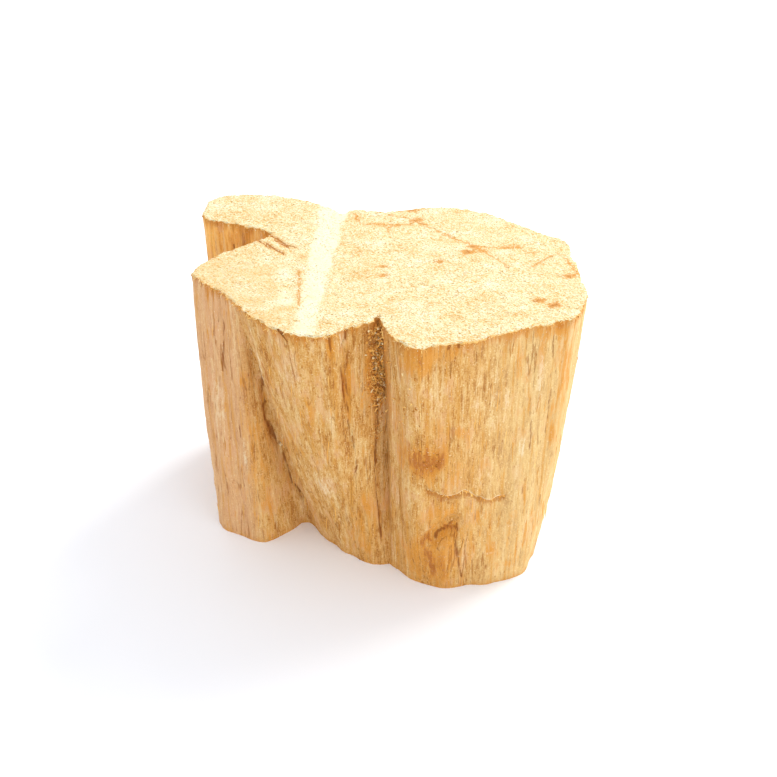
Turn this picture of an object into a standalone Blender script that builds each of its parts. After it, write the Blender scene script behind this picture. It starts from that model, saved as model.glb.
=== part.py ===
"""Palo santo block: a short length of split heartwood, sawn across the grain at both ends.

Frame: metres, +Z up along the grain, origin at the middle of the base's box.
The block stands on its lower saw cut. +Y runs away from the grooved front.
"""

import math

import bmesh
import bpy
from mathutils import Vector, noise

MM = 0.001

# Driving dimensions, in millimetres
HEIGHT = 56.0
COLUMNS = 184
# Rows of the side mesh, closer together round the ledge and the knot: from z, to z, rows
ROW_BANDS = [(0.0, 12.1, 5), (12.1, 27.7, 10), (27.7, HEIGHT, 10)]

# The outline of the two saw cuts, in millimetres, counter-clockwise seen from above.
# Each landmark is a ridge, hollow or corner that runs along the grain from cut to cut:
# (x, y at the upper cut, x, y at the base, how far its line bellies outwards at mid height).
LEG = [
    (-33.5, -3.7, -33.3, -6.2, 0.6),
    (-30.6, -7.0, -31.7, -9.6, 0.4),
    (-27.7, -9.4, -27.4, -11.7, 0.2),
    (-25.9, -11.8, -23.2, -13.5, 0.0),
    (-25.1, -13.0, -19.6, -11.2, -0.2),
]
DIAGONAL_GROOVE = [
    (-24.5, -13.9, -15.6, -7.2, -0.9),
    (-23.4, -15.9, -13.0, -9.6, 0.6),
]
BODY = [
    (-21.0, -18.7, -10.6, -12.9, 0.8),
    (-17.3, -22.0, -8.1, -15.3, 0.8),
    (-13.4, -23.4, -6.0, -16.9, 0.6),
    (-8.6, -24.0, -3.9, -18.6, 0.4),
    (-6.1, -21.7, -2.3, -19.3, 0.2),
    (-3.6, -20.8, -0.9, -19.6, 0.3),
]
FRONT_GROOVE = [
    (-1.5, -19.9, 0.2, -19.7, 0.0),
    (-0.6, -17.5, 1.3, -19.3, -0.4),
    (0.6, -21.0, 2.7, -20.5, 0.0),
]
RIGHT_LOBE = [
    (2.6, -24.9, 4.9, -22.7, 0.2),
    (5.2, -27.4, 7.9, -24.9, 0.3),
    (9.0, -27.1, 12.4, -25.7, 0.4),
    (14.6, -25.1, 17.2, -25.2, 0.4),
    (22.4, -22.1, 22.2, -24.2, 0.3),
    (28.6, -19.9, 26.4, -22.4, 0.3),
]
RIGHT_SIDE = [
    (32.1, -18.2, 28.6, -19.2, 0.4),
    (34.4, -13.4, 30.4, -14.0, 0.9),
    (35.0, -7.0, 31.2, -7.0, 1.2),
    (34.5, 1.0, 31.0, 0.6, 1.0),
    (33.6, 8.0, 30.2, 6.8, 0.5),
]
BACK = [
    (29.6, 11.1, 26.8, 10.0, 0.2),
    (22.8, 16.8, 21.0, 14.8, 0.4),
    (16.6, 20.8, 15.4, 18.4, 0.6),
    (8.6, 21.6, 8.0, 19.6, 0.8),
    (1.0, 19.9, 0.8, 18.0, 0.2),
    (-5.4, 20.9, -5.4, 18.9, 0.3),
    (-7.8, 19.3, -8.2, 17.1, -0.4),
    (-11.6, 22.9, -12.0, 20.4, 0.4),
    (-19.0, 26.2, -19.2, 23.2, 0.8),
]
BACK_LOBE = [
    (-28.0, 27.6, -27.2, 24.6, 0.8),
    (-33.3, 25.4, -31.8, 22.8, 0.6),
    (-35.0, 20.2, -33.4, 18.6, 0.5),
    (-34.1, 17.3, -32.4, 16.2, 0.2),
]
SIDE_SLOT = [
    (-30.2, 15.7, -29.4, 14.6, 0.0),
    (-24.6, 13.8, -24.8, 12.9, -0.2),
    (-20.8, 11.1, -21.6, 10.4, -0.6),
    (-23.6, 7.8, -24.4, 7.4, 0.2),
    (-28.2, 4.1, -28.6, 3.4, 0.4),
    (-31.8, 0.6, -32.0, -0.8, 0.6),
]
LANDMARKS = (
    LEG + DIAGONAL_GROOVE + BODY + FRONT_GROOVE + RIGHT_LOBE + RIGHT_SIDE + BACK + BACK_LOBE + SIDE_SLOT
)

# Ridges that weathering and splitting left along the grain
RIDGE_SPACING = 3.4
RIDGE_LENGTH = 34.0
RIDGE_HEIGHT = 0.55
RIPPLE_SPACING = 1.9
RIPPLE_LENGTH = 15.0
RIPPLE_HEIGHT = 0.22

# Shrinkage cracks on the front: x of the mouth at the upper end, x at the lower end, top z, bottom z
CRACKS = [
    (-7.1, -5.0, 51.0, 20.0),
    (-0.1, 1.2, 34.0, 8.0),
    (-30.6, -30.0, 48.0, 33.0),
]
CRACK_WIDTH = 0.8
CRACK_DEPTH = 0.9

# The step where the outer layer broke off the right lobe: its edge runs from x to x and droops
LEDGE_FROM_X = 7.5
LEDGE_TO_X = 22.5
LEDGE_Z = 25.2
LEDGE_DROOP = 4.4
LEDGE_WAVE = 0.8
LEDGE_DEPTH = 1.3
LEDGE_STEP = 1.2
LEDGE_FLAT = 2.0
LEDGE_FADE = 11.0

# The cleft over the knot, low on the right lobe, runs from one (x, z) to the other
KNOT_FROM = Vector((9.2, 12.8))
KNOT_TO = Vector((12.8, 16.6))
KNOT_RADIUS = 2.5
KNOT_DEPTH = 1.8

# The swelling of the knot itself, under the cleft, falls off steeply on its right
BOSS_X = 12.9
BOSS_WIDTH = 8.5
BOSS_EDGE = 1.7
BOSS_TOP_Z = 13.5
BOSS_RISE = 5.0
BOSS_FOOT_Z = 9.0
BOSS_HEIGHT = 1.0

# Cracks, ledge and knot are cut only where the side looks this far towards the front, along -Y
FRONT_FACING = -0.35

# Folds sharper than this many degrees keep a hard edge in the shading
SHARP_ANGLE = 50.0


def closed_curve(points, u):
    """The point at u landmarks along a closed Catmull-Rom curve through the points."""
    count = len(points)
    start = math.floor(u)
    t = u - start
    a, b, c, d = (points[(start + k) % count] for k in (-1, 0, 1, 2))
    return 0.5 * (
        2 * b
        + (c - a) * t
        + (2 * a - 5 * b + 4 * c - d) * t**2
        + (3 * b - a - 3 * c + d) * t**3
    )


def smooth_step(value):
    """Goes from 0 to 1 with level ends as the value goes from 0 to 1."""
    value = min(1.0, max(0.0, value))
    return value * value * (3 - 2 * value)


def even_stations(points, count):
    """The u of count stations, evenly spaced along the closed curve through the points."""
    fine = 40 * len(points)
    lengths = [0.0]
    previous = closed_curve(points, 0.0)
    for step in range(1, fine + 1):
        here = closed_curve(points, step * len(points) / fine)
        lengths.append(lengths[-1] + (here - previous).length)
        previous = here
    stations = []
    step = 0
    for station in range(count):
        wanted = lengths[-1] * station / count
        while lengths[step + 1] < wanted:
            step += 1
        share = (wanted - lengths[step]) / (lengths[step + 1] - lengths[step])
        stations.append((step + share) * len(points) / fine)
    return stations


def section_point(u, z):
    """The smooth outline at height z, before ridges, cracks and pits."""
    t = z / HEIGHT
    rule = [
        Vector((bx + (tx - bx) * t, by + (ty - by) * t, belly * 4 * t * (1 - t)))
        for tx, ty, bx, by, belly in LANDMARKS
    ]
    return closed_curve(rule, u)


def outward(u, z):
    """The horizontal direction that points out of the wood at this place."""
    step = 0.12
    along = section_point(u + step, z) - section_point(u - step, z)
    return Vector((along.y, -along.x, 0.0)).normalized()


def ridges(point):
    """Long ridges and short ripples along the grain, in millimetres outwards."""
    broad = Vector((point.x / RIDGE_SPACING, point.y / RIDGE_SPACING, point.z / RIDGE_LENGTH))
    narrow = Vector((point.x / RIPPLE_SPACING, point.y / RIPPLE_SPACING, point.z / RIPPLE_LENGTH))
    return RIDGE_HEIGHT * noise.noise(broad) + RIPPLE_HEIGHT * noise.noise(narrow)


def cracks(point):
    """How far the shrinkage cracks cut in, in millimetres."""
    deepest = 0.0
    for top_x, low_x, top_z, low_z in CRACKS:
        share = (top_z - point.z) / (top_z - low_z)
        if not 0.0 < share < 1.0:
            continue
        mouth = top_x + (low_x - top_x) * share
        across = max(0.0, 1 - abs(point.x - mouth) / CRACK_WIDTH)
        deepest = max(deepest, CRACK_DEPTH * across * math.sin(math.pi * share) ** 0.5)
    return deepest


def ledge(point):
    """How far the surface lies back below the broken edge on the right lobe."""
    share = (point.x - LEDGE_FROM_X) / (LEDGE_TO_X - LEDGE_FROM_X)
    if not 0.0 < share < 1.0:
        return 0.0
    edge_z = LEDGE_Z - LEDGE_DROOP * share + LEDGE_WAVE * math.sin(4 * math.pi * share)
    below = edge_z - point.z
    opening = smooth_step(below / LEDGE_STEP) * (1 - smooth_step((below - LEDGE_FLAT) / LEDGE_FADE))
    return LEDGE_DEPTH * opening * math.sin(math.pi * share) ** 0.5


def knot_cleft(point):
    """How far the slanting cleft over the knot cuts in."""
    place = Vector((point.x, point.z))
    run = KNOT_TO - KNOT_FROM
    share = min(1.0, max(0.0, (place - KNOT_FROM).dot(run) / run.length_squared))
    away = (place - KNOT_FROM - run * share).length
    return KNOT_DEPTH * (1 - smooth_step(away / KNOT_RADIUS))


def knot_boss(point):
    """How far the knot swells out below its cleft."""
    across = BOSS_X - point.x
    upright = smooth_step((BOSS_TOP_Z - point.z) / BOSS_RISE) * smooth_step(point.z / BOSS_FOOT_Z)
    steep_side = smooth_step(across / BOSS_EDGE)
    soft_side = smooth_step((BOSS_WIDTH - across) / (BOSS_WIDTH - BOSS_EDGE))
    return BOSS_HEIGHT * upright * steep_side * soft_side


def surface_point(u, z):
    """A point on the finished side of the block, in millimetres."""
    outline = section_point(u, z)
    direction = outward(u, z)
    point = Vector((outline.x, outline.y, z))
    reach = outline.z + ridges(point)
    if direction.y < FRONT_FACING:
        reach += knot_boss(point) - ledge(point) - max(cracks(point), knot_cleft(point))
    return point + direction * reach


def side_columns():
    """Where the mesh's upright lines stand on the outline, evenly spaced at mid height."""
    mean_outline = [
        Vector(((tx + bx) / 2, (ty + by) / 2, 0.0)) for tx, ty, bx, by, belly in LANDMARKS
    ]
    return even_stations(mean_outline, COLUMNS)


def row_heights():
    """The heights of the side mesh's rows, in millimetres."""
    heights = [0.0]
    for low, high, rows in ROW_BANDS:
        heights += [low + (high - low) * (row + 1) / rows for row in range(rows)]
    return heights


def centred(points):
    """Moves the points so that the origin is at the middle of their box, on the base."""
    xs = [p.x for p in points]
    ys = [p.y for p in points]
    middle = Vector(((min(xs) + max(xs)) / 2, (min(ys) + max(ys)) / 2, 0.0))
    return [p - middle for p in points]


def block_mesh():
    """Sides extruded row by row from the base's outline, closed by the two flat saw cuts."""
    columns = side_columns()
    heights = row_heights()
    places = centred([surface_point(u, z) for z in heights for u in columns])

    shape = bmesh.new()
    loop = [shape.verts.new(p * MM) for p in places[:COLUMNS]]
    edges = [shape.edges.new((loop[k], loop[(k + 1) % COLUMNS])) for k in range(COLUMNS)]
    base = shape.faces.new(list(reversed(loop)))
    for row in range(1, len(heights)):
        grown = bmesh.ops.extrude_edge_only(shape, edges=edges)["geom"]
        edges = [item for item in grown if isinstance(item, bmesh.types.BMEdge)]
        new_verts = {item for item in grown if isinstance(item, bmesh.types.BMVert)}
        next_loop = []
        for vert in loop:
            above = next(e.other_vert(vert) for e in vert.link_edges if e.other_vert(vert) in new_verts)
            next_loop.append(above)
        for k, vert in enumerate(next_loop):
            vert.co = places[row * COLUMNS + k] * MM
        edges = [e for e in edges if all(v in new_verts for v in e.verts)]
        loop = next_loop
    top = shape.faces.new(loop)
    bmesh.ops.triangulate(shape, faces=[base, top], ngon_method="BEAUTY")
    bmesh.ops.recalc_face_normals(shape, faces=shape.faces)
    mesh = bpy.data.meshes.new("palo_santo_block")
    shape.to_mesh(mesh)
    shape.free()
    mesh.shade_smooth()
    mesh.set_sharp_from_angle(angle=math.radians(SHARP_ANGLE))
    return mesh


def heartwood():
    """Oily yellow-tan heartwood, dry and dull on the outside."""
    material = bpy.data.materials.new("palo_santo_heartwood")
    material.use_nodes = True
    shader = material.node_tree.nodes["Principled BSDF"]
    shader.inputs["Base Color"].default_value = (0.72, 0.45, 0.20, 1.0)
    shader.inputs["Roughness"].default_value = 0.75
    shader.inputs["Metallic"].default_value = 0.0
    return material


def main():
    for item in list(bpy.data.objects):
        bpy.data.objects.remove(item)
    block = bpy.data.objects.new("palo_santo_block", block_mesh())
    block.data.materials.append(heartwood())
    bpy.context.scene.collection.objects.link(block)


main()
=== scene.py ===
"""The looks of a short block of palo santo heartwood, sawn at both ends and split along its sides."""

import math
import random

import bmesh
import bpy
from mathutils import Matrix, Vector, noise
from mathutils.bvhtree import BVHTree


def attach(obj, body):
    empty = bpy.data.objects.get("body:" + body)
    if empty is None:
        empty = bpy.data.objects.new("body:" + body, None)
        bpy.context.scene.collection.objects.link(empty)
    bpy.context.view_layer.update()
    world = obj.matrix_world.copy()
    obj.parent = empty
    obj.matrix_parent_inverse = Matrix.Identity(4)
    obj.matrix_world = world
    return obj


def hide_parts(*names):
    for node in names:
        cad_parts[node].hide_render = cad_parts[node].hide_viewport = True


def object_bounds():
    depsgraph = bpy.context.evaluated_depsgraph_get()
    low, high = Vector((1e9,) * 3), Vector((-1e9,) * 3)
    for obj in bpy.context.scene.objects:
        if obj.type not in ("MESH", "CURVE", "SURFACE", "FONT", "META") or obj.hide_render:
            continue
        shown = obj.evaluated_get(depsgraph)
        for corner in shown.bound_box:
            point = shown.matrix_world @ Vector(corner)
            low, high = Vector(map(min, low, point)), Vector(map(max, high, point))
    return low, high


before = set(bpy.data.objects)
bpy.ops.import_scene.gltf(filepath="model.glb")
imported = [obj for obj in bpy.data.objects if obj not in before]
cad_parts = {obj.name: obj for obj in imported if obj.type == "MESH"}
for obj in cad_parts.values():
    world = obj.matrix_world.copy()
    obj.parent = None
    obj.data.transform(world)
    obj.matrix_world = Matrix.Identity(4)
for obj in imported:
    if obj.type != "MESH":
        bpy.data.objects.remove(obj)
cad_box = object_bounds()

# The block: one length of heartwood, grown as one piece. Its sides were split and weathered along
# the grain, and both ends are saw cuts. The solid's own surface is cut finer, to about a third of
# a millimetre, and then gets the relief that the grain, the cracks and the saw left in it.
MM = 0.001
HEIGHT = cad_box[1].z / MM
TINY = 0.01 * MM
COLUMN_CUTS = 3
ROW_CUTS = 2
TOP_CELL = 0.32 * MM
BASE_CELL = 1.6 * MM
CELLS_ACROSS = 256
# Stands for no line near here, and for a place beside the ledge, in millimetres
FAR = 9.0
# Over this much of each end the relief of the sides fades out; the saw tore the rim this far down
END_BLEND = 1.6
TORN_DEPTH = 1.3

# Cracks that run along the grain on the front: (x, z) down each one, its width and its depth
SIDE_CRACKS = [
    ([(-6.6, 53.5), (-5.8, 50.4), (-6.2, 45.9), (-6.0, 41.7), (-6.1, 36.0), (-5.2, 30.0)], 0.3, 0.8),
    ([(-6.9, 49.0), (-6.6, 45.0), (-6.5, 40.5)], 0.25, 0.5),
    ([(-5.6, 32.2), (-4.9, 28.7), (-4.9, 25.0), (-5.7, 22.5)], 0.3, 0.3),
    ([(-0.8, 40.0), (-1.0, 32.6), (-1.3, 27.5), (-1.2, 19.6), (-0.7, 14.4), (-0.3, 6.7)], 0.4, 0.6),
    ([(-23.4, 52.5), (-22.7, 50.2), (-22.2, 44.9), (-22.0, 35.6), (-21.7, 29.2), (-20.9, 25.2)], 0.5, 1.0),
    ([(-20.9, 25.2), (-19.6, 20.7), (-18.0, 11.4), (-16.4, 8.0), (-15.0, 4.6)], 0.6, 1.2),
    ([(-18.6, 21.0), (-17.1, 19.3), (-15.8, 15.5), (-14.7, 12.6)], 0.35, 0.6),
    ([(-28.9, 51.4), (-29.0, 49.4)], 0.3, 0.3),
    ([(-27.9, 50.2), (-28.3, 47.6), (-28.5, 44.8), (-29.2, 39.0)], 0.3, 0.3),
    ([(-26.4, 36.0), (-26.6, 30.0), (-26.9, 25.0)], 0.12, 0.1),
    ([(12.9, 15.0), (13.3, 11.5), (14.0, 6.9), (14.8, 2.3)], 0.55, 0.5),
    ([(9.3, 12.2), (10.0, 13.6), (11.4, 14.5), (12.4, 15.6), (13.1, 15.4), (13.3, 14.0)], 0.65, 0.5),
    ([(25.9, 54.0), (25.2, 41.8), (25.9, 31.0), (26.9, 22.0)], 0.15, 0.15),
    ([(28.2, 55.5), (28.8, 44.5), (28.4, 33.0)], 0.15, 0.15),
    ([(15.3, 55.8), (15.1, 51.0)], 0.2, 0.2),
    ([(-8.8, 56.0), (-8.6, 53.5), (-8.0, 50.6)], 0.5, 0.4),
    ([(-5.9, 56.0), (-5.9, 54.2)], 0.8, 0.6),
    ([(10.6, 56.0), (10.5, 54.9)], 0.5, 0.4),
    ([(12.1, 56.0), (12.2, 55.2)], 0.7, 0.4),
]
# The edge where the outer layer broke off the right lobe, (x, z) from left to right
LEDGE = [
    (7.6, 25.2), (8.6, 24.7), (10.0, 24.1), (12.1, 23.8), (14.2, 24.7), (15.3, 24.0), (17.4, 21.2),
    (19.5, 21.1), (22.0, 21.4),
]
# Stained, bleached and painted-light places on the front: (x, z, half width, half height, strength)
ORANGE_PLACES = [
    (6.0, 53.4, 3.2, 3.4, 1.0), (9.4, 54.2, 3.6, 2.2, 0.8), (28.0, 54.6, 4.5, 2.0, 0.9),
    (-1.0, 47.0, 1.8, 9.0, 1.0), (29.8, 36.0, 0.9, 9.0, 0.7), (26.4, 51.0, 0.6, 5.0, 0.8),
    (31.2, 41.0, 1.4, 12.0, 0.6), (9.1, 39.0, 1.6, 2.6, 0.5), (13.6, 37.6, 2.0, 1.8, 0.5),
    (8.5, 7.0, 4.8, 8.0, 1.0), (20.0, 12.0, 7.0, 9.0, 0.35), (-23.5, 18.0, 3.2, 17.0, 0.35),
    (-6.2, 44.5, 0.9, 7.0, 0.9), (-12.5, 38.0, 0.8, 6.0, 0.5), (-3.6, 12.0, 3.4, 12.0, 0.5),
    (-8.4, 53.0, 0.8, 3.0, 0.9), (-2.4, 44.0, 2.2, 12.0, 0.4), (22.6, 50.0, 0.8, 6.0, 0.4),
    (-24.5, 38.0, 1.0, 9.0, 0.4), (-17.0, 27.0, 2.6, 3.4, 0.4), (14.0, 30.0, 4.0, 5.0, 0.25),
    (10.5, 18.0, 5.0, 4.0, 0.5), (7.2, 32.0, 4.4, 5.4, 1.0), (-10.0, 30.0, 3.0, 4.0, 0.3),
    (24.0, 4.6, 5.0, 1.2, 0.5), (11.0, 13.5, 3.4, 3.4, 0.9), (-20.3, 44.0, 1.0, 10.0, 0.5),
]
BROWN_PLACES = [
    (7.2, 32.2, 4.0, 4.4, 0.55), (4.6, 34.8, 1.2, 0.6, 0.8), (9.6, 31.0, 1.2, 0.6, 0.9),
    (6.2, 28.2, 1.8, 0.8, 0.6), (7.6, 12.0, 2.4, 2.0, 0.5), (11.2, 14.6, 2.0, 0.8, 0.6),
    (10.4, 22.4, 3.4, 1.0, 0.5), (13.4, 11.0, 0.4, 4.0, 0.6), (-20.5, 42.0, 0.6, 8.0, 0.6),
    (-19.9, 30.0, 0.9, 5.0, 0.4), (-12.5, 55.4, 4.0, 0.8, 0.6), (30.2, 55.2, 2.4, 1.0, 0.6),
    (-20.2, 52.5, 1.4, 3.0, 0.35), (3.8, 14.1, 0.5, 1.1, 0.5), (7.0, 42.0, 1.8, 6.0, 0.3),
    (-16.5, 7.8, 1.2, 1.2, 0.5), (-1.2, 24.3, 0.4, 0.6, 0.9), (-6.6, 44.5, 0.35, 5.0, 0.6),
    (9.0, 6.0, 3.6, 6.0, 0.5), (5.6, 54.0, 0.8, 2.6, 0.6), (9.6, 54.6, 0.5, 2.2, 0.6),
]
# Some of the pale places are painted light: the thin one along the crease at (25.0, 14.0) and the one
# beside the diagonal crack at (-21.5, 43.0) are painted highlights on lit edges, and the one in the front
# groove at (-0.9, 47.0) paints the groove lighter against its shade
PALE_PLACES = [
    (24.4, 32.0, 1.3, 2.4, 0.5), (26.6, 46.5, 1.0, 8.0, 0.4), (18.0, 44.0, 6.0, 9.0, 0.3),
    (-26.0, 21.5, 0.5, 4.6, 0.7), (-30.5, 30.0, 2.4, 12.0, 0.3), (-15.5, 46.0, 3.0, 6.0, 0.25),
    (-11.0, 20.0, 3.4, 6.0, 0.3), (17.5, 7.9, 6.0, 0.5, 0.3), (25.0, 14.0, 3.4, 0.5, 0.4),
    (16.8, 26.5, 3.0, 3.0, 0.3), (-19.5, 21.6, 0.5, 0.6, 1.0), (-6.9, 54.4, 0.6, 1.8, 0.8),
    (8.0, 47.0, 4.0, 3.0, 0.25), (-23.8, 33.0, 0.8, 2.6, 0.4), (-0.9, 47.0, 1.2, 8.0, 0.5),
    (-21.5, 43.0, 0.45, 8.0, 0.4), (-17.6, 19.0, 0.5, 3.0, 0.5),
]
MARKED_PLACES = (ORANGE_PLACES, BROWN_PLACES, PALE_PLACES)

# The upper saw cut: (x, y) along each vein of the end grain, and along each crack
VEINS = [
    [(6.0, 16.5), (8.6, 13.6), (11.1, 11.2), (13.2, 8.9), (15.7, 7.0), (16.6, 5.8)],
    [(16.6, 5.8), (19.6, 2.5), (22.3, -1.5)],
    [(6.0, 16.5), (5.0, 14.6), (1.8, 14.4), (0.6, 12.4), (0.8, 11.2)],
    [(6.0, 16.5), (3.1, 17.9), (0.8, 18.8)],
    [(-5.6, 19.0), (-5.1, 16.4), (-3.7, 14.6), (-1.9, 14.8), (1.8, 14.4)],
    [(16.6, 5.8), (21.3, 5.3), (25.0, 5.6)],
    [(26.4, -1.6), (28.4, 0.6), (30.6, 2.6)],
    [(-14.9, -3.0), (-14.6, -8.0), (-14.1, -14.7)],
    [(3.1, 20.4), (5.6, 20.2), (7.8, 21.2)],
    [(31.4, 3.6), (33.2, 0.4), (34.4, -5.0)],
]
TOP_CRACKS = [
    [(-21.2, 10.4), (-19.6, 8.9), (-17.8, 6.6), (-16.0, 5.7)],
    [(-20.2, 8.6), (-18.8, 7.0), (-17.4, 5.6)],
    [(-23.2, 8.4), (-21.7, 6.5), (-20.6, 5.3)],
    [(-21.6, 7.4), (-19.7, 4.9), (-18.0, 3.1)],
]
# Dark spots of the end grain: (x, y, half width)
TOP_SPOTS = [
    (6.1, 16.4, 0.6), (15.2, 3.9, 0.6), (32.6, -4.7, 0.6), (-0.1, -1.4, 0.35), (10.0, 0.4, 0.4),
    (5.4, 20.6, 0.5), (0.2, -4.4, 0.3), (28.9, -14.4, 0.6), (26.6, -12.8, 0.5), (16.4, 5.9, 0.5),
]
# The pale band of sapwood across the upper cut: its middle at y = 0, its lean, its half width there
# and how much that grows with y. The blotches beside it are (x, y, half width, half depth).
BAND_X = -11.4
BAND_LEAN = 0.07
BAND_HALF = 2.1
BAND_SPREAD = 0.022
BLOTCHES = [(-17.4, -4.0, 2.6, 4.5), (-16.6, -12.4, 2.8, 3.8), (-19.0, 0.6, 1.6, 2.0)]


def smooth_step(value):
    """Goes from 0 to 1 with level ends as the value goes from 0 to 1."""
    value = min(1.0, max(0.0, value))
    return value * value * (3 - 2 * value)


def distance_to_line(x, y, points):
    """How far a point is from the line through the points."""
    nearest = math.inf
    for (ax, ay), (bx, by) in zip(points, points[1:]):
        run_x, run_y = bx - ax, by - ay
        share = ((x - ax) * run_x + (y - ay) * run_y) / (run_x**2 + run_y**2)
        share = min(1.0, max(0.0, share))
        nearest = min(nearest, math.hypot(x - ax - run_x * share, y - ay - run_y * share))
    return nearest


def streak(grain, across, along, shift=0.0):
    """Noise drawn out along the grain, from -1 to 1; across and along are its sizes in millimetres."""
    return noise.noise(Vector((grain.x / across + shift, grain.y / across, grain.z / along)))


def nearest_line(x, z, lines):
    """How far outside the nearest of the lines this is, in millimetres, and how deep they cut in here."""
    outside, deepest = FAR, 0.0
    for points, width, depth in lines:
        if not min(p[1] for p in points) - 3 < z < max(p[1] for p in points) + 3:
            continue
        away = distance_to_line(x, z, points)
        outside = min(outside, away - width / 3)
        deepest = max(deepest, 0.7 * depth * smooth_step(1 - away / (0.7 * width + 0.2)))
    return outside, deepest


def places_strength(x, z, places):
    """How strongly the marks among the places show here, from 0 to 1, falling off to their edges."""
    total = 0.0
    for middle_x, middle_z, half_width, half_height, strength in places:
        away = math.hypot((x - middle_x) / half_width, (z - middle_z) / half_height)
        total = max(total, strength * smooth_step((1.5 - away) / 1.2))
    return total


def side_relief(place, grain):
    """How far the side stands out here, in millimetres: ridges, torn layers and splinters."""
    ridges = 0.10 * streak(grain, 1.9, 30, 5.0) + 0.06 * streak(grain, 0.8, 12, 9.0)
    layers = 0.07 * math.tanh(8 * streak(grain, 3.6, 18, 3.0))
    fissure = max(0.0, 1 - abs(streak(grain, 2.8, 60, 7.0)) / 0.07)
    fissure *= smooth_step(2.4 * streak(grain, 7.0, 20, 2.0) + 0.1)
    rough = 0.05 * noise.noise(place / 0.8) + 0.10 * noise.noise(place / 2.6)
    return ridges + layers + rough - 0.22 * fissure


def above_ledge(x, z):
    """How far above the broken edge this is, in millimetres, or FAR beside it."""
    for (x1, z1), (x2, z2) in zip(LEDGE, LEDGE[1:]):
        if x1 <= x < x2:
            ragged = 0.35 * noise.noise(Vector((x / 0.9, 0.0, 6.1)))
            return z - z1 - (z2 - z1) * (x - x1) / (x2 - x1) - ragged
    return FAR


def ledge_relief(above, x):
    """The thin lip along the broken edge on the right lobe, and the hollow under it."""
    lip = 0.55 * math.exp(-((above - 0.5) / 0.6) ** 2)
    hollow = 0.75 * math.exp(-((above + 0.6) / 0.7) ** 2)
    return (lip - hollow) * (0.8 + 0.8 * noise.noise(Vector((x / 1.3, 0.0, 3.3))))


def saw_relief(x, y):
    """How far the upper saw cut stands up here, in millimetres: torn fibres, saw strokes and pits."""
    turned_x, turned_y = 0.94 * x - 0.34 * y, 0.34 * x + 0.94 * y
    strokes = noise.noise(Vector((turned_x / 1.5, turned_y / 0.55, 1.7)))
    grains = noise.noise(Vector((x / 0.45, y / 0.45, 4.4)))
    pits = max(0.0, noise.noise(Vector((x / 0.8, y / 0.8, 8.1))) - 0.28)
    wide = noise.noise(Vector((x / 9, y / 9, 2.2)))
    return 0.06 * strokes + 0.07 * grains - 0.4 * pits + 0.12 * wide


def slice_faces(shape, faces, axis, low, high, cell):
    """Cuts flat faces into strips one cell wide across the axis, halving the stretch each time."""
    cells = round((high - low) / cell)
    if cells < 2 or not faces:
        return faces
    middle = low + (cells // 2) * cell
    parts = set(faces)
    for face in faces:
        parts.update(face.edges)
        parts.update(face.verts)
    plane = {"plane_co": axis * middle, "plane_no": axis}
    cut = bmesh.ops.bisect_plane(shape, geom=list(parts), dist=TINY / 100, **plane)
    left = [g for g in cut["geom"] if isinstance(g, bmesh.types.BMFace)]
    below = [f for f in left if f.calc_center_median().dot(axis) < middle]
    above = [f for f in left if f.calc_center_median().dot(axis) >= middle]
    below = slice_faces(shape, below, axis, low, middle, cell)
    return below + slice_faces(shape, above, axis, middle, high, cell)


def saw_cut(shape, height, cell):
    """Cuts the flat face at this height into small cells."""
    faces = [f for f in shape.faces if all(abs(v.co.z - height) < TINY for v in f.verts)]
    for axis in (Vector((1, 0, 0)), Vector((0, 1, 0))):
        low = axis.dot(cad_box[0]) - cell
        faces = slice_faces(shape, faces, axis, low, low + cell * CELLS_ACROSS, cell)
    return faces


def side_rings(shape):
    """The rings of vertices round the side, from the base up, in order and lined up with each other.

    Where the solid is flat a vertex can be missing from its ring, which then holds None there.
    """
    rows = {}
    for vert in shape.verts:
        rows.setdefault(round(vert.co.z / TINY), []).append(vert)
    rings = []
    for height in sorted(rows):
        left = set(rows[height])
        here = max(left, key=lambda v: v.co.x)
        ring = [here]
        left.remove(here)
        while left:
            level = [e for e in here.link_edges if e.other_vert(here) in left]
            level = [e for e in level if any(abs(f.normal.z) < 0.9 for f in e.link_faces)]
            if level:
                next_ones = [e.other_vert(here) for e in level]
                here = max(next_ones, key=lambda v: v.co.y if len(ring) == 1 else 0)
            else:
                ring.append(None)
                here = min(left, key=lambda v: (v.co - ring[-2].co).length)
            ring.append(here)
            left.remove(here)
        if rings:
            turns = [ring[k:] + ring[:k] for k in range(-20, 21)]
            ring = min(turns, key=lambda turn: ring_distance(turn, rings[-1]))
        rings.append(ring)
    return rings


def ring_distance(ring, other):
    """How badly two rings of vertices line up."""
    return sum((a.co - b.co).xy.length_squared for a, b in zip(ring, other) if a and b)


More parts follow.
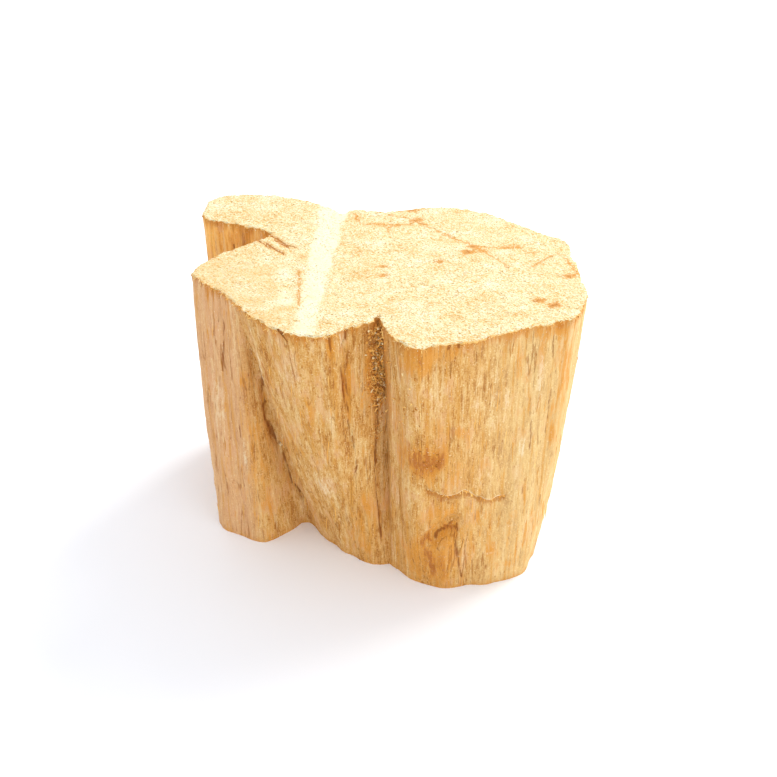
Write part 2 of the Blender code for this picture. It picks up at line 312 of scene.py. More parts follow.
def weather_side(vert, place, out):
    """Stores the marks of one vertex of the sides and gives how it moves, in millimetres."""
    grain = Vector((*(vert[grain_layer].xy / MM), place.z))
    front = smooth_step((0.15 - out.y) / 0.3)
    near_end = smooth_step(min(place.z, HEIGHT - place.z) / END_BLEND)
    wander = 0.22 * noise.noise(Vector((0.0, 0.0, place.z / 1.4))) * near_end
    lines, cracks = nearest_line(place.x + wander, place.z, SIDE_CRACKS)
    orange, brown, pale = (front * places_strength(place.x, place.z, place_list) for place_list in MARKED_PLACES)
    above = above_ledge(place.x, place.z) if front > 0.5 else FAR
    reach = side_relief(place, grain) * (0.2 + 0.8 * near_end)
    reach -= brown * (0.25 + 0.5 * noise.noise(place / 0.9)) * near_end
    reach += ledge_relief(above, place.x) - cracks * front * (0.3 + 0.7 * near_end)
    torn = 1 - smooth_step((HEIGHT - place.z) / TORN_DEPTH)
    reach += torn * (0.30 * noise.noise(place / 1.1) + 0.25 * noise.noise(place / 0.5))
    drop = 0.5 * max(0.0, noise.noise(place / 0.8) + 0.1) + 0.5 * max(0.0, noise.noise(place / 2.4))
    in_slot = smooth_step((place.y - 4) / 4) * smooth_step((-18 - place.x) / 3)
    on_left = smooth_step((-22.0 - place.x) / 6)
    vert[side_marks] = (lines + FAR * (1 - front), orange, brown)
    vert[side_tones] = (pale, front * (on_left * (1 - in_slot) - in_slot), above)
    return out * reach - Vector((0.0, 0.0, torn * drop * (0.4 + 0.6 * front)))


def weather_cut(vert, place):
    """Stores the marks of one vertex of the upper cut and gives how far it rises, in millimetres."""
    x, y = place.xy
    ragged = 0.6 * noise.noise(Vector((x / 0.9, y / 0.9, 5.0)))
    uneven = 0.7 * noise.noise(Vector((x / 5, y / 2.6, 7.0)))
    vein = min(distance_to_line(x + ragged, y + ragged, line) for line in VEINS)
    for spot_x, spot_y, size in TOP_SPOTS:
        vein = min(vein, math.hypot((x + ragged - spot_x) / 1.5, y + ragged - spot_y) - size)
    gap = min(distance_to_line(x + ragged * 0.4, y, line) for line in TOP_CRACKS)
    band = abs(x - BAND_X - BAND_LEAN * y + uneven) - BAND_HALF - BAND_SPREAD * y
    for middle_x, middle_y, half_width, half_depth in BLOTCHES:
        away = (math.hypot((x - middle_x) / half_width, (y - middle_y) / half_depth) - 1) * half_width
        band = min(band, away * 0.6 + 0.7 + uneven)
    vert[end_marks] = (vein, band, gap)
    return saw_relief(x, y) - 0.3 * smooth_step(1 - gap / 0.3)


wood = bmesh.new()
wood.from_mesh(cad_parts["palo_santo_block"].data)
bmesh.ops.remove_doubles(wood, verts=wood.verts, dist=TINY)
# What the shaders read from each vertex: where it is along and across the grain; how far it is from
# a crack, and how orange and how brown it is; how pale and how pink it is, and how far above the
# ledge; and on the cut how far it is from a vein, from the pale band and from a crack
names = ("grain", "side_marks", "side_tones", "end_marks")
layers = [wood.verts.layers.float_vector.new(name) for name in names]
grain_layer, side_marks, side_tones, end_marks = layers
for height in (0.0, HEIGHT * MM):
    loose = [f for f in wood.faces if all(abs(v.co.z - height) < TINY for v in f.verts)]
    bmesh.ops.dissolve_faces(wood, faces=loose)
rings = side_rings(wood)
place_of = {}
for row, ring in enumerate(rings):
    place_of.update({vert: (row, column) for column, vert in enumerate(ring) if vert})
for ring in rings:
    for vert, middle in zip(ring, rings[len(rings) // 2]):
        if vert and middle:
            vert[grain_layer] = (*middle.co.xy.lerp(vert.co.xy, 0.92), vert.co.z)
# Without its slanting edges a side is rows of quads, which are then cut finer and smoothed
slanting = [e for e in wood.edges if all(a != b for a, b in zip(*(place_of[v] for v in e.verts)))]
slanting = [e for e in slanting if all(abs(f.normal.z) < 0.9 for f in e.link_faces)]
bmesh.ops.dissolve_edges(wood, edges=slanting, use_verts=False)
side_edges = {e for f in wood.faces for e in f.edges if abs(f.normal.z) < 0.9}
across = [e for e in side_edges if abs(e.verts[0].co.z - e.verts[1].co.z) < TINY]
bmesh.ops.subdivide_edges(wood, edges=across, cuts=COLUMN_CUTS, use_grid_fill=True)
along = [e for e in wood.edges if abs(e.verts[0].co.z - e.verts[1].co.z) > TINY]
bmesh.ops.subdivide_edges(wood, edges=along, cuts=ROW_CUTS, use_grid_fill=True)
side_verts = [v for v in wood.verts if any(abs(f.normal.z) < 0.9 for f in v.link_faces)]
level_only = {"use_axis_x": True, "use_axis_y": True, "use_axis_z": False}
for turn in range(2):
    bmesh.ops.smooth_vert(wood, verts=side_verts, factor=0.5, **level_only)
top_faces = set(saw_cut(wood, HEIGHT * MM, TOP_CELL))
base_faces = set(saw_cut(wood, 0.0, BASE_CELL))
wood.normal_update()

shifts = []
for vert in wood.verts:
    place = vert.co / MM
    side = [f for f in vert.link_faces if f not in top_faces and f not in base_faces]
    shift = Vector((0.0, 0.0, 0.0))
    if side:
        out = sum((f.normal for f in side), Vector())
        out.z = 0.0
        shift += weather_side(vert, place, out.normalized())
    if any(f in top_faces for f in vert.link_faces):
        shift.z += weather_cut(vert, place)
    shifts.append(shift)
for vert, shift in zip(wood.verts, shifts):
    vert.co += shift * MM

for face in wood.faces:
    face.smooth = True
    face.material_index = 1 if face in top_faces or face in base_faces else 0
for edge in wood.edges:
    edge.smooth = len({f.material_index for f in edge.link_faces}) == 1
# The rim of the upper cut, as points and the ways that the side faces there
rim_edges = [e for e in wood.edges if not e.smooth and e.verts[0].co.z > 0.9 * HEIGHT * MM]
rim = []
for edge in rim_edges:
    face = next(f for f in edge.link_faces if f.material_index == 0)
    rim.append((edge.verts[0].co.copy(), Vector((face.normal.x, face.normal.y, 0.0)).normalized()))
wood_tree = BVHTree.FromBMesh(wood)
wood_mesh = bpy.data.meshes.new("palo_santo_wood")
wood.to_mesh(wood_mesh)
wood.free()
wood_piece = bpy.data.objects.new("palo_santo_wood", wood_mesh)
bpy.context.scene.collection.objects.link(wood_piece)


class Value:
    """A number on a shader socket. Arithmetic on it adds Math nodes."""

    def __init__(self, paint, socket):
        self.paint = paint
        self.socket = socket

    def math(self, operation, first, second=0.0):
        return self.paint.node("ShaderNodeMath", {"operation": operation}, {0: first, 1: second})

    def __add__(self, other):
        return self.math("ADD", self, other)

    def __sub__(self, other):
        return self.math("SUBTRACT", self, other)

    def __rsub__(self, other):
        return self.math("SUBTRACT", other, self)

    def __mul__(self, other):
        return self.math("MULTIPLY", self, other)

    __radd__ = __add__
    __rmul__ = __mul__

    def off(self, centre):
        """How far the value is from the centre, either way."""
        return self.math("ABSOLUTE", self - centre)

    def step(self, low, high):
        """0 below low and 1 above high, with a soft rise between them; or the other way round."""
        if low > high:
            return 1 - self.step(high, low)
        settings = {"interpolation_type": "SMOOTHSTEP"}
        sockets = {"Value": self, "From Min": low, "From Max": high}
        return self.paint.node("ShaderNodeMapRange", settings, sockets)


class Paint:
    """The nodes of one material."""

    def __init__(self, name):
        self.material = bpy.data.materials.new(name)
        self.material.use_nodes = True
        self.tree = self.material.node_tree
        self.shader = self.tree.nodes["Principled BSDF"]

    def node(self, kind, settings=None, sockets=None, output=0):
        """Adds a node, sets it up, fills its sockets with numbers or links, and gives one output."""
        added = self.tree.nodes.new(kind)
        for name, value in (settings or {}).items():
            if name == "stops":
                ramp = added.color_ramp
                while len(ramp.elements) < len(value):
                    ramp.elements.new(0.5)
                for element, (position, color) in zip(ramp.elements, value):
                    element.position = position
                    element.color = (*color, 1.0)
            else:
                setattr(added, name, value)
        for name, value in (sockets or {}).items():
            self.fill(added.inputs[name], value)
        return Value(self, added.outputs[output])

    def fill(self, socket, value):
        """Links a value to the socket, or writes a number or a colour into it."""
        if isinstance(value, Value):
            self.tree.links.new(value.socket, socket)
        elif isinstance(value, tuple) and socket.type == "RGBA":
            socket.default_value = (*value, 1.0)
        else:
            socket.default_value = value

    def mix(self, share, first, second):
        """The first colour, or the second where the share is 1."""
        return self.node("ShaderNodeMix", {"data_type": "RGBA"}, {0: share, 6: first, 7: second}, output=2)

    def ramp(self, tone, stops):
        """The colours at their places on the tone, with even blends between them."""
        return self.node("ShaderNodeValToRGB", {"stops": stops}, {"Fac": tone})

    def cover(self, color, coats):
        """The colour under thin coats, each of them a share and its own colour, in their order."""
        for share, coat in coats:
            color = self.mix(share, color, coat)
        return color

    def stretched(self, vector, sizes, turn=0.0, shift=(0.0, 0.0, 0.0)):
        """The vector measured in these sizes, in millimetres, after a turn about Z."""
        scale = tuple(1 / (size * MM) for size in sizes)
        sockets = {"Vector": vector, "Rotation": (0.0, 0.0, turn), "Location": shift}
        turned = self.node("ShaderNodeMapping", {"vector_type": "POINT"}, sockets)
        return self.node("ShaderNodeVectorMath", {"operation": "MULTIPLY"}, {0: turned, 1: scale})

    def noise(self, vector, detail=2.0, roughness=0.5):
        """Clouds about one unit across, from 0 to 1."""
        sockets = {"Vector": vector, "Scale": 1.0, "Detail": detail, "Roughness": roughness}
        return self.node("ShaderNodeTexNoise", {"noise_dimensions": "3D"}, sockets)

    def attribute(self, name, output=1):
        return self.node("ShaderNodeAttribute", {"attribute_name": name}, output=output)

    def split(self, vector):
        """The three numbers of a vector."""
        split = self.node("ShaderNodeSeparateXYZ", {}, {0: vector})
        return [Value(self, socket) for socket in split.socket.node.outputs]


# The split sides, from the darkest wood to the lightest, and the coats on it; some coats are painted light
# and shade, as marked where they stand
SIDE_STOPS = [
    (0.37, (0.38, 0.145, 0.022)),
    (0.44, (0.55, 0.265, 0.060)),
    (0.50, (0.64, 0.360, 0.110)),
    (0.56, (0.72, 0.465, 0.175)),
    (0.63, (0.83, 0.640, 0.320)),
]
PINK_WOOD = (0.70, 0.405, 0.225)
# The slot wall's orange is painted brighter than the wood round it, as painted light against the shade in
# the slot
SLOT_DARK = (0.84, 0.37, 0.065)
SLOT_LIGHT = (0.98, 0.53, 0.13)
ROSY_CLOUD = (0.66, 0.34, 0.18)
# Painted light: the colour that makes the right-hand part of the sides lighter, as if lit from the right
PAINTED_LIGHT_RIGHT = (0.81, 0.64, 0.31)
DARK_STREAK = (0.60, 0.27, 0.035)
LIGHT_STREAK = (0.84, 0.64, 0.33)
ORANGE_STAIN = (0.64, 0.26, 0.025)
BROWN_STAIN = (0.36, 0.10, 0.012)
BLEACHED_AND_PAINTED_LIGHT = (0.84, 0.71, 0.46)
# Darker orange-brown, just under the top rim and along the foot of the sides
UNDER_RIM_DARK = (0.54, 0.20, 0.02)
FOOT_DARK = (0.58, 0.24, 0.03)
# Painted highlight on the lip of the broken ledge, and painted shadow in the hollow under it
LEDGE_PAINTED_HIGHLIGHT = (0.88, 0.74, 0.48)
LEDGE_PAINTED_SHADOW = (0.46, 0.17, 0.022)
PORE = (0.36, 0.12, 0.012)
GLINT = (0.90, 0.76, 0.50)
CRACK = (0.26, 0.075, 0.006)

side = Paint("palo_santo_split_side")
grain = side.attribute("grain")
lines, orange, brown = side.split(side.attribute("side_marks"))
pale, pink, above = side.split(side.attribute("side_tones"))
across, up = side.split(grain)[::2]
bands = side.noise(side.stretched(grain, (1.6, 1.6, 17.0)), detail=5.0, roughness=0.62)
strips = side.noise(side.stretched(grain, (0.55, 0.55, 4.5), shift=(0.1, 0, 0)), detail=4.0, roughness=0.6)
fine = side.noise(side.stretched(grain, (0.24, 0.24, 1.3), shift=(0.2, 0, 0)), detail=2.0, roughness=0.6)
grit = side.noise(side.stretched(grain, (0.24, 0.24, 0.28), shift=(0.3, 0, 0)), detail=2.0)
patchy = side.noise(side.stretched(grain, (3.2, 3.2, 6.0), shift=(0.4, 0, 0)), detail=6.0, roughness=0.62)
seams = side.noise(side.stretched(grain, (2.8, 2.8, 70.0), shift=(0.5, 0, 0)), detail=2.0)
some = side.noise(side.stretched(grain, (4.0, 4.0, 7.0), shift=(0.6, 0, 0)), detail=3.0)
long = side.noise(side.stretched(grain, (0.8, 0.8, 22.0), shift=(0.7, 0, 0)), detail=3.0, roughness=0.6)
drawn = side.noise(side.stretched(grain, (0.7, 0.7, 9.0), shift=(0.8, 0, 0)), detail=3.0)
mottle = (patchy - 0.5) * 3.0 + (strips - 0.5) * 2.2 + (fine - 0.5) * 1.4 + (grit - 0.5) * 1.0
mottle = mottle + (drawn - 0.5) * 2.4
slot_orange_and_painted_light = side.mix(strips.step(0.4, 0.6), SLOT_DARK, SLOT_LIGHT)
under_rim_darkening = (up + (mottle + (long - 0.5) * 10.0) * 0.9 * MM).step(53.6 * MM, 56.2 * MM)
foot_darkening = (up - (mottle + (bands - 0.5) * 6.0) * 0.9 * MM).step(1.6 * MM, -0.4 * MM)
seam = (seams.off(0.5) + (fine - 0.5) * 0.03).step(0.012, 0.002) * some.step(0.48, 0.58)

side_tone = bands * 0.26 + strips * 0.28 + fine * 0.30 + grit * 0.26 + patchy * 0.34 - 0.22
side_coats = [
    (pink.step(0.0, 1.0) * 0.55, PINK_WOOD),
    # The slot wall: orange wood, painted brighter as painted light against the shade in the slot
    (pink.step(-0.2, -0.8) * 0.8, slot_orange_and_painted_light),
    ((patchy + (bands - 0.5) * 0.4).step(0.50, 0.62) * 0.4, ROSY_CLOUD),
    # Painted light: the right-hand part of the sides is made lighter, as if lit from the right
    (across.step(10 * MM, 27 * MM) * 0.4, PAINTED_LIGHT_RIGHT),
    ((long + mottle * 0.05).step(0.55, 0.63) * 0.55, DARK_STREAK),
    ((long - mottle * 0.05).step(0.44, 0.36) * 0.35, LIGHT_STREAK),
    ((orange + mottle * 0.8).step(0.2, 0.95) * 0.8, ORANGE_STAIN),
    ((brown * (1.3 + mottle * 2.4)).step(0.3, 1.3) * 0.75, BROWN_STAIN),
    # Pale wood, partly bleached and partly painted light: highlights on lit edges and a lighter groove
    ((pale * (1.3 + mottle * 2.2)).step(0.3, 1.1) * 0.65, BLEACHED_AND_PAINTED_LIGHT),
    # Darker orange-brown, just under the top rim and along the foot of the sides
    (under_rim_darkening * 0.75, UNDER_RIM_DARK),
    (foot_darkening * 0.6, FOOT_DARK),
    # Painted highlight along the lip of the ledge, then painted shadow under it
    ((above + (grit - 0.5) * 0.8).off(0.3).step(0.35, 0.1) * 0.6, LEDGE_PAINTED_HIGHLIGHT),
    ((above + (strips - 0.5) * 1.6).off(-0.85).step(1.1, 0.3) * 0.65, LEDGE_PAINTED_SHADOW),
    (fine.step(0.38, 0.26) * 0.55, PORE),
    (grit.step(0.62, 0.76) * 0.5, GLINT),
    (seam * 0.6, PORE),
    ((lines + (strips - 0.5) * 0.8).step(0.12, -0.10) * 0.8, CRACK),
]
side.fill(side.shader.inputs["Base Color"], side.cover(side.ramp(side_tone, SIDE_STOPS), side_coats))
side.fill(side.shader.inputs["Roughness"], 0.62 + strips * 0.3)
side.shader.inputs["Specular IOR Level"].default_value = 0.25
side_height = bands * 0.25 + strips * 0.3 + fine * 0.3 + grit * 0.2 - seam * 0.2
side_bump = {"Strength": 0.8, "Distance": 0.4 * MM, "Height": side_height}
side.fill(side.shader.inputs["Normal"], side.node("ShaderNodeBump", {}, side_bump))

# The saw cuts, from the darkest end grain to the lightest, and the coats on it
CUT_STOPS = [
    (0.39, (0.56, 0.27, 0.07)),
    (0.445, (0.70, 0.49, 0.20)),
    (0.49, (0.75, 0.64, 0.36)),
    (0.555, (0.77, 0.70, 0.44)),
    (0.61, (0.86, 0.82, 0.64)),
]
TORN_FIBRES = (0.86, 0.82, 0.63)
SAW_STROKE = (0.64, 0.36, 0.10)
SAPWOOD = (0.86, 0.83, 0.60)
VEIN = (0.58, 0.23, 0.03)
VEIN_HEART = (0.34, 0.10, 0.012)
VEIN_HALO = (0.68, 0.38, 0.10)
GAP_HALO = (0.72, 0.36, 0.07)
GAP = (0.40, 0.12, 0.01)
END_PORE = (0.36, 0.17, 0.03)
TAN_CORNER = (0.72, 0.48, 0.20)
TORN_EDGE = (0.80, 0.48, 0.13)
RIM_LINE = (0.78, 0.45, 0.12)
SAW_TURN = 0.35

cut = Paint("palo_santo_saw_cut")
where = cut.node("ShaderNodeTexCoord", output=3)
end_x, end_y, end_z = cut.split(where)
vein, band, gap = cut.split(cut.attribute("end_marks"))
at_rim = cut.split(cut.attribute("side_tones"))[2]
strokes = cut.noise(cut.stretched(where, (1.0, 0.30, 1.0), SAW_TURN), detail=4.0, roughness=0.62)
grit = cut.noise(cut.stretched(where, (0.30, 0.24, 0.30), SAW_TURN), detail=2.0, roughness=0.6)
specks = cut.noise(cut.stretched(where, (0.34, 0.20, 0.34), SAW_TURN, shift=(0.3, 0.1, 0)), detail=1.0)
cloud = cut.noise(cut.stretched(where, (4.5, 3.0, 4.5)), detail=5.0, roughness=0.6)
rough = (cloud + (strokes - 0.5) * 0.6).step(0.36, 0.58)
sap = (band + (strokes - 0.5) * 2.2 + (cloud - 0.5) * 3.0).step(0.35, -0.5)
line_gap = vein + (grit - 0.5) * 1.2 + (cloud - 0.5) * 0.6
corner = (end_x + (cloud - 0.5) * 40 * MM).step(-14 * MM, -24 * MM) * end_y.step(4 * MM, -2 * MM)
torn_edge = end_z.step((HEIGHT - 0.15) * MM, (HEIGHT - 0.5) * MM) * end_z.step(0.0, 9 * MM)

cut_tone = strokes * 0.34 + grit * 0.36 + cloud * 0.34 - 0.02
cut_coats = [
    (specks.step(0.56, 0.68) * 0.7, TORN_FIBRES),
    (grit.step(0.46, 0.34) * (0.35 + rough * 0.4), SAW_STROKE),
    (sap * 0.8, SAPWOOD),
    (line_gap.step(0.45, 0.05) * 0.8, VEIN),
    (line_gap.step(-0.1, -0.4) * 0.7, VEIN_HEART),
    (line_gap.step(1.4, 0.2) * 0.15, VEIN_HALO),
    ((gap + (grit - 0.5) * 1.2).step(1.1, 0.3) * 0.4, GAP_HALO),
    ((gap + (grit - 0.5) * 0.4).step(0.28, 0.10) * 0.85, GAP),
    (specks.step(0.40, 0.32) * (0.35 + rough * 0.6), END_PORE),
    (corner * 0.4, TAN_CORNER),
    (torn_edge * 0.75, TORN_EDGE),
    ((at_rim + (strokes - 0.5) * 14).step(2.5, 8.0) * 0.7, RIM_LINE),
]
cut.fill(cut.shader.inputs["Base Color"], cut.cover(cut.ramp(cut_tone, CUT_STOPS), cut_coats))
cut.fill(cut.shader.inputs["Roughness"], 0.75 + grit * 0.2)
cut.shader.inputs["Specular IOR Level"].default_value = 0.2
cut_bump = {"Strength": 0.8, "Distance": 0.25 * MM, "Height": strokes * 0.4 + grit * 0.6}
cut.fill(cut.shader.inputs["Normal"], cut.node("ShaderNodeBump", {}, cut_bump))

wood_mesh.materials.append(side.material)
wood_mesh.materials.append(cut.material)
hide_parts("palo_santo_block")
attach(wood_piece, "root")


# Loose fibres that the saw left: short pale ones all over the upper cut, thickest along its rim,
# where they hang over the edge. They are thin bent slivers of the same wood, joined in one mesh.
FUZZ_COUNT = 1100
FUZZ_LENGTH = (0.3, 1.1)
FUZZ_WIDTH = (0.07, 0.14)
RIM_FUZZ_COUNT = 1300
RIM_FUZZ_LENGTH = (0.3, 0.9)
RIM_FUZZ_WIDTH = (0.10, 0.26)
# The fuzz lies where the cut is, so not lower than this under the top of the box
DEEPEST_FUZZ = 1.5 * MM

rng = random.Random(17)
DOWN = Vector((0.0, 0.0, -1.0))


def sliver_master():
    """One bent, tapered sliver, a millimetre long and wide, that the others are scaled copies of."""
    shape = bmesh.new()
    bmesh.ops.create_cone(shape, cap_ends=True, segments=4, radius1=0.5, radius2=0.18, depth=1.0)
    upright = [e for e in shape.edges if abs(e.verts[0].co.z - e.verts[1].co.z) > 0.5]
    bmesh.ops.subdivide_edges(shape, edges=upright, cuts=2, use_grid_fill=True)
    for vert in shape.verts:
        vert.co.z += 0.5
    mesh = bpy.data.meshes.new("sliver_master")
    shape.to_mesh(mesh)
    shape.free()
    return mesh


def crumb_master():
    """One rough grain of saw dust, a millimetre across, that the others are scaled copies of."""
    shape = bmesh.new()
    bmesh.ops.create_icosphere(shape, subdivisions=1, radius=0.5)
    for vert in shape.verts:
        vert.co *= 1 + 0.5 * noise.noise(vert.co * 3)
    mesh = bpy.data.meshes.new("crumb_master")
    shape.to_mesh(mesh)
    shape.free()
    return mesh


class Litter:
    """Many scaled copies of a master mesh, joined in one piece, each with its own shade from 0 to 1."""

    def __init__(self, name):
        self.name = name
        self.shape = bmesh.new()
        self.shade = self.shape.verts.layers.float.new("shade")

    def add(self, master, place, direction, size, shade, bend=0.0):
        """One copy from the place, in metres, in the direction; its size is in millimetres."""
        width, depth, length = size
        before = len(self.shape.verts)
        self.shape.from_mesh(master)
        self.shape.verts.ensure_lookup_table()
        turn = direction.to_track_quat("Z", "Y").to_matrix()
        for vert in self.shape.verts[before:]:
            share = vert.co.z
            sag = bend * share * share * length
            local = Vector((vert.co.x * width, vert.co.y * depth + sag, share * length))
            vert.co = place + turn @ local * MM
            vert[self.shade] = shade

    def piece(self, material):
        """Makes the joined mesh an object that rides on the block."""
        bmesh.ops.recalc_face_normals(self.shape, faces=self.shape.faces)
        mesh = bpy.data.meshes.new(self.name)
        self.shape.to_mesh(mesh)
        self.shape.free()
        mesh.materials.append(material)
        thing = bpy.data.objects.new(self.name, mesh)
        bpy.context.scene.collection.objects.link(thing)
        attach(thing, "root")


def spread(low_high):
    """A random number between the two."""
    return rng.uniform(*low_high)


sliver = sliver_master()
crumb = crumb_master()

fibre = Paint("palo_santo_fibres")
shade = fibre.attribute("shade", output=2)
tint = fibre.noise(fibre.stretched(fibre.node("ShaderNodeTexCoord", output=3), (0.5, 0.5, 0.5)))
FIBRE_STOPS = [
    (0.0, (0.20, 0.07, 0.012)),
    (0.25, (0.54, 0.22, 0.03)),
    (0.5, (0.80, 0.42, 0.09)),
    (0.75, (0.88, 0.60, 0.20)),
    (1.0, (0.87, 0.79, 0.52)),
]
fibre_color = fibre.ramp(shade + (tint - 0.5) * 0.3, FIBRE_STOPS)
fibre.fill(fibre.shader.inputs["Base Color"], fibre_color)
fibre.shader.inputs["Roughness"].default_value = 0.8
fibre.shader.inputs["Specular IOR Level"].default_value = 0.2

fuzz = Litter("saw_fuzz")
low, high = cad_box
while len(fuzz.shape.verts) < FUZZ_COUNT * len(sliver.vertices):
    start = Vector((rng.uniform(low.x, high.x), rng.uniform(low.y, high.y), high.z + 0.01))
    hit = wood_tree.ray_cast(start, DOWN)[0]
    if hit is None or hit.z < high.z - DEEPEST_FUZZ:
        continue
    heading = rng.gauss(-0.35, 0.9) + rng.choice((0.0, math.pi))
    direction = Vector((math.cos(heading), math.sin(heading), rng.uniform(0.02, 0.4)))
    width = spread(FUZZ_WIDTH)
    tone = min(1.0, max(0.3, rng.gauss(0.82, 0.17)))
    size = (width, width * 0.6, spread(FUZZ_LENGTH))
    fuzz.add(sliver, hit, direction, size, tone, rng.uniform(-0.3, 0.1))

for turn in range(RIM_FUZZ_COUNT):
    place, out = rng.choice(rim)
    front_left = place.y < -0.004 and place.x < -0.008
    if out.y > 0.3 and rng.random() < 0.5:
        continue
    inward = rng.uniform(0.1, 0.7)
    side_way = Vector((-out.y, out.x, 0.0)) * rng.gauss(0.0, 0.9)
    direction = out + side_way + Vector((0.0, 0.0, rng.uniform(-0.8, 0.3)))
    length = spread(RIM_FUZZ_LENGTH) * (1.3 if front_left else 0.8)
    width = spread(RIM_FUZZ_WIDTH)
    start = place - out * inward * MM + Vector((0.0, 0.0, rng.uniform(-0.2, 0.05) * MM))
    tone = min(1.0, max(0.1, rng.gauss(0.6, 0.22)))
    fuzz.add(sliver, start, direction, (width, width * 0.6, length), tone, rng.uniform(-0.4, 0.1))
fuzz.piece(fibre.material)


# Saw dust and broken fibres packed in the front groove, and a few crumbs that stuck elsewhere: to
# the rough patch, over the knot and in the long cracks. Joined in one mesh of grains and slivers.
GROOVE_Z = (38.5, 54.5)
GROOVE_COUNT = 520
GROOVE_TONES = (0.3, 0.45, 0.5, 0.5, 0.6, 0.6, 0.7, 0.9)
# Crumbs stuck elsewhere: (x, z, half width, half height, how many, the lightest tone)
STRAY_PLACES = [
    (7.4, 31.6, 3.4, 3.2, 40, 0.5),
    (-1.2, 33.0, 0.8, 6.0, 30, 0.8),
    (4.0, 44.0, 2.4, 9.0, 24, 0.9),
]
# The pale grain stuck on the diagonal crack, as (x, z), and the dark splinter that hangs over the
# rim, as its root and the way it runs
STUCK_GRAIN = (-19.6, 21.5)
HANGING_SPLINTER = (Vector((-17.1, -22.0, 56.1)), Vector((1.6, -1.9, -1.2)))
FRONT_START = -60 * MM


def front_hit(x, z):
    """Where a line from the front meets the wood at this x and z, and the way the wood faces there."""
    return wood_tree.ray_cast(Vector((x * MM, FRONT_START, z * MM)), Vector((0.0, 1.0, 0.0)))[:2]


def random_way():
    """A random direction."""
    return Vector((rng.gauss(0, 1), rng.gauss(0, 1), rng.gauss(0, 1))).normalized()


dust = Litter("groove_crumbs")


def add_crumb(x, z, sliver_share, tone, loose=True):
    """One crumb on the front of the wood, a sliver or a grain. Loose ones lie in a thick heap."""
    hit, normal = front_hit(x, z)
    if hit is None:
        return
    start = hit + normal * rng.uniform(-0.05, 0.8 if loose else 0.15) * MM
    if rng.random() < sliver_share:
        way = random_way() + normal * 0.25 + Vector((0.0, 0.0, rng.choice((-0.5, 0.5))))
        width = rng.uniform(0.2, 0.4)
        length = rng.uniform(0.5, 1.5) * (1.0 if loose else 0.5)
        size = (width, width * 0.7, length)
        dust.add(sliver, start, way.normalized(), size, tone, rng.uniform(-0.4, 0.4))
    else:
        width = rng.uniform(0.3, 0.6) * (1.0 if loose else 0.7)
        size = (width, width * rng.uniform(0.5, 1.0), width * rng.uniform(0.6, 1.4))
        dust.add(crumb, start, random_way(), size, tone)


for turn in range(GROOVE_COUNT):
    height = GROOVE_Z[0] + (GROOVE_Z[1] - GROOVE_Z[0]) * rng.random() ** 0.75
    middle = -1.1 + 0.5 * noise.noise(Vector((0.0, 0.0, height / 3)))
    add_crumb(rng.gauss(middle, 0.8), height, 0.55, rng.choice(GROOVE_TONES))
for middle_x, middle_z, half_width, half_height, count, lightest in STRAY_PLACES:
    for turn in range(count):
        x, z = rng.gauss(middle_x, half_width * 0.5), rng.gauss(middle_z, half_height * 0.5)
        add_crumb(x, z, 0.35, rng.uniform(0.1, lightest), loose=False)
hit, normal = front_hit(*STUCK_GRAIN)
dust.add(crumb, hit + normal * 0.2 * MM, Vector((0.2, 0.0, 1.0)), (0.8, 0.5, 1.0), 0.95)
start, way = HANGING_SPLINTER
dust.add(sliver, start * MM, way, (0.45, 0.35, way.length), 0.02)
dust.piece(fibre.material)


# Splinters and fibres that stand off the split sides: they lie along the grain and lift at one end.
# Along the broken edge on the right lobe they are short and stick out. Joined in one mesh.
SPLINTER_COUNT = 620
SPLINTER_LENGTH = (1.2, 4.5)
SPLINTER_WIDTH = (0.10, 0.24)
LEDGE_FLAKES = 36

splinters = Litter("side_splinters")
while len(splinters.shape.verts) < SPLINTER_COUNT * len(sliver.vertices):
    turn = rng.uniform(0, 2 * math.pi)
    start = Vector((0.07 * math.cos(turn), 0.07 * math.sin(turn), spread((0.002, 0.053))))
    target = Vector((rng.uniform(-0.02, 0.02), rng.uniform(-0.008, 0.008), start.z))
    hit, normal = wood_tree.ray_cast(start, target - start)[:2]
    if hit is None or abs(normal.z) > 0.5:
        continue
    upward = rng.choice((-1.0, 1.0))
    way = Vector((rng.gauss(0, 0.06), rng.gauss(0, 0.06), upward)) + normal * rng.uniform(0.0, 0.07)
    length = spread(SPLINTER_LENGTH)
    if not 1.0 < hit.z / MM + upward * length < HEIGHT - 0.5:
        continue
    width = spread(SPLINTER_WIDTH)
    tone = min(0.9, max(0.15, rng.gauss(0.52, 0.16)))
    place = hit - normal * 0.04 * MM
    splinters.add(sliver, place, way, (width, width * 0.5, length), tone)
for turn in range(LEDGE_FLAKES):
    x = rng.uniform(LEDGE[0][0], LEDGE[-1][0])
    (x1, z1), (x2, z2) = next(ends for ends in zip(LEDGE, LEDGE[1:]) if x <= ends[1][0])
    z = z1 + (z2 - z1) * (x - x1) / (x2 - x1)
    hit, normal = front_hit(x, z + rng.uniform(0.0, 0.5))
    way = normal * 0.3 + Vector((rng.gauss(0, 0.5), 0.0, rng.uniform(-1.0, -0.3)))
    width = rng.uniform(0.2, 0.6)
    place = hit - normal * 0.1 * MM
    splinters.add(sliver, place, way, (width, 0.15, rng.uniform(0.3, 0.8)), rng.uniform(0.3, 0.75))
splinters.piece(fibre.material)


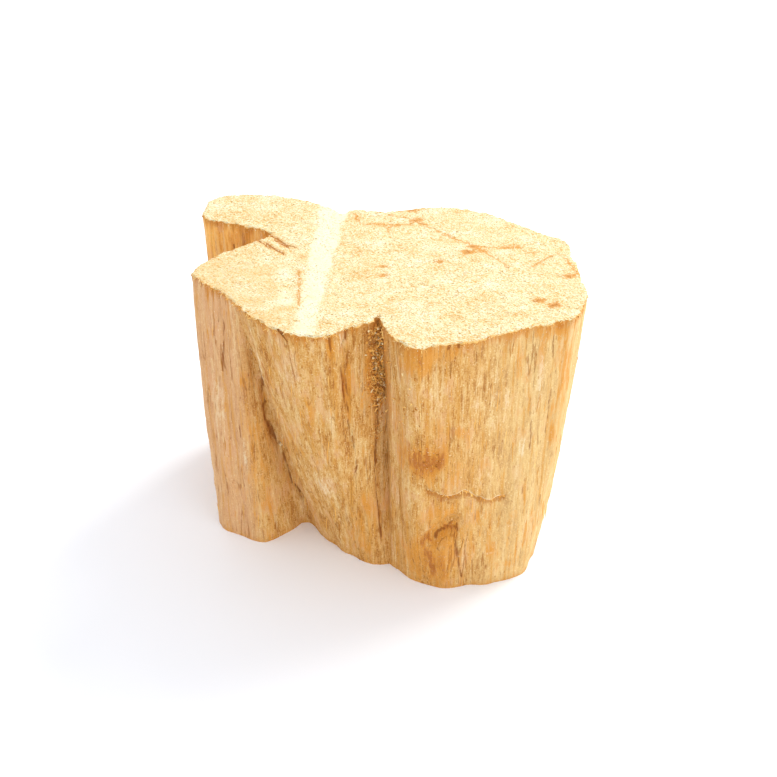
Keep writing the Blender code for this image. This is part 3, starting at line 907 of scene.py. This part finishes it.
# The studio: a plain pale floor, an even sky that fills the shadows, a large soft lamp high at the
# back on the right, a weak one at the front, and the camera, which looks down at 36 degrees.
FLOOR_HALF = 1.5
PITCH = math.radians(36.0)
DISTANCE = 213.5 * MM
AIM = Vector((0.9, 0.25, 28.0)) * MM
FOCAL_PIXELS = 1100.0
FRAME_PIXELS = 777.0
SENSOR = 36.0

ground = bmesh.new()
bmesh.ops.create_grid(ground, x_segments=1, y_segments=1, size=FLOOR_HALF)
ground_mesh = bpy.data.meshes.new("floor")
ground.to_mesh(ground_mesh)
ground.free()
floor = bpy.data.objects.new("floor", ground_mesh)
bpy.context.scene.collection.objects.link(floor)
plain = Paint("pale_floor")
plain.shader.inputs["Base Color"].default_value = (0.925, 0.965, 1.0, 1.0)
plain.shader.inputs["Roughness"].default_value = 0.9
plain.shader.inputs["Specular IOR Level"].default_value = 0.1
ground_mesh.materials.append(plain.material)

sky = bpy.data.worlds.new("studio")
sky.use_nodes = True
sky.node_tree.nodes["Background"].inputs["Color"].default_value = (1.0, 0.99, 1.02, 1.0)
sky.node_tree.nodes["Background"].inputs["Strength"].default_value = 1.04
bpy.context.scene.world = sky


def lamp(name, place, size, power, color):
    """A square soft lamp that points at the block."""
    data = bpy.data.lights.new(name, "AREA")
    data.shape = "SQUARE"
    data.size = size
    data.energy = power
    data.color = color
    thing = bpy.data.objects.new(name, data)
    thing.location = place
    thing.rotation_mode = "QUATERNION"
    thing.rotation_quaternion = (AIM - Vector(place)).to_track_quat("-Z", "Y")
    bpy.context.scene.collection.objects.link(thing)


lamp("key_lamp", (0.36, 0.31, 0.42), 0.34, 3.2, (1.0, 0.98, 0.94))
lamp("front_fill", (0.46, -0.42, 0.14), 0.40, 0.8, (1.0, 0.99, 0.97))

camera_data = bpy.data.cameras.new("camera")
camera_data.sensor_width = SENSOR
camera_data.lens = SENSOR * FOCAL_PIXELS / FRAME_PIXELS
camera_data.clip_start = 0.01
camera = bpy.data.objects.new("camera", camera_data)
camera.location = AIM + Vector((0.0, -math.cos(PITCH), math.sin(PITCH))) * DISTANCE
camera.rotation_euler = (math.pi / 2 - PITCH, 0.0, 0.0)
bpy.context.scene.collection.objects.link(camera)
bpy.context.scene.camera = camera
bpy.context.scene.view_settings.view_transform = "Standard"
